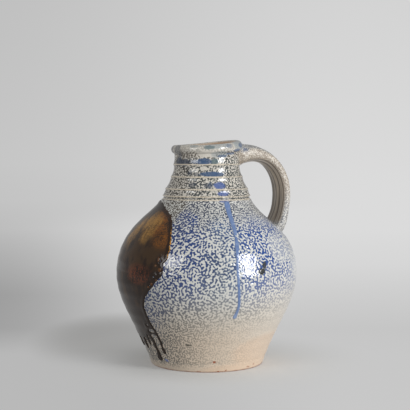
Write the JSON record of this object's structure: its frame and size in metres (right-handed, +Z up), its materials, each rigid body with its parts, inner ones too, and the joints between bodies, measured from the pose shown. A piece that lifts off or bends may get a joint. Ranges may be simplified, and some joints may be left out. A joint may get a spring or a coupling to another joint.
{
  "type": "jug",
  "caption": "Rounded stoneware jug with a ribbed neck, rolled rim, strap handle and runs of glaze, free-standing and open at the mouth.",
  "frame": {"origin": "centre of the foot, on the surface that the jug stands on", "axes": "+Z up along the jug's axis, +X towards the handle, +Y to complete a right-handed frame"},
  "size_m": [0.1523, 0.1502, 0.1842],
  "materials": {
    "salt_glazed_body": "glossy salt glaze, cobalt blue mottle on pale grey, bare buff clay towards the foot",
    "salt_glazed_handle": "glossy salt glaze, grey-brown mottle on buff",
    "iron_glaze": "thick glossy dark brown glaze with amber streaks",
    "cobalt_glaze": "glossy cobalt blue glaze run"
  },
  "bodies": {
    "root": {"thrown_body": "salt_glazed_body", "pulled_handle": "salt_glazed_handle", "iron_glaze_pour": "iron_glaze", "cobalt_glaze_run": "cobalt_glaze"}
  },
  "joints": []
}
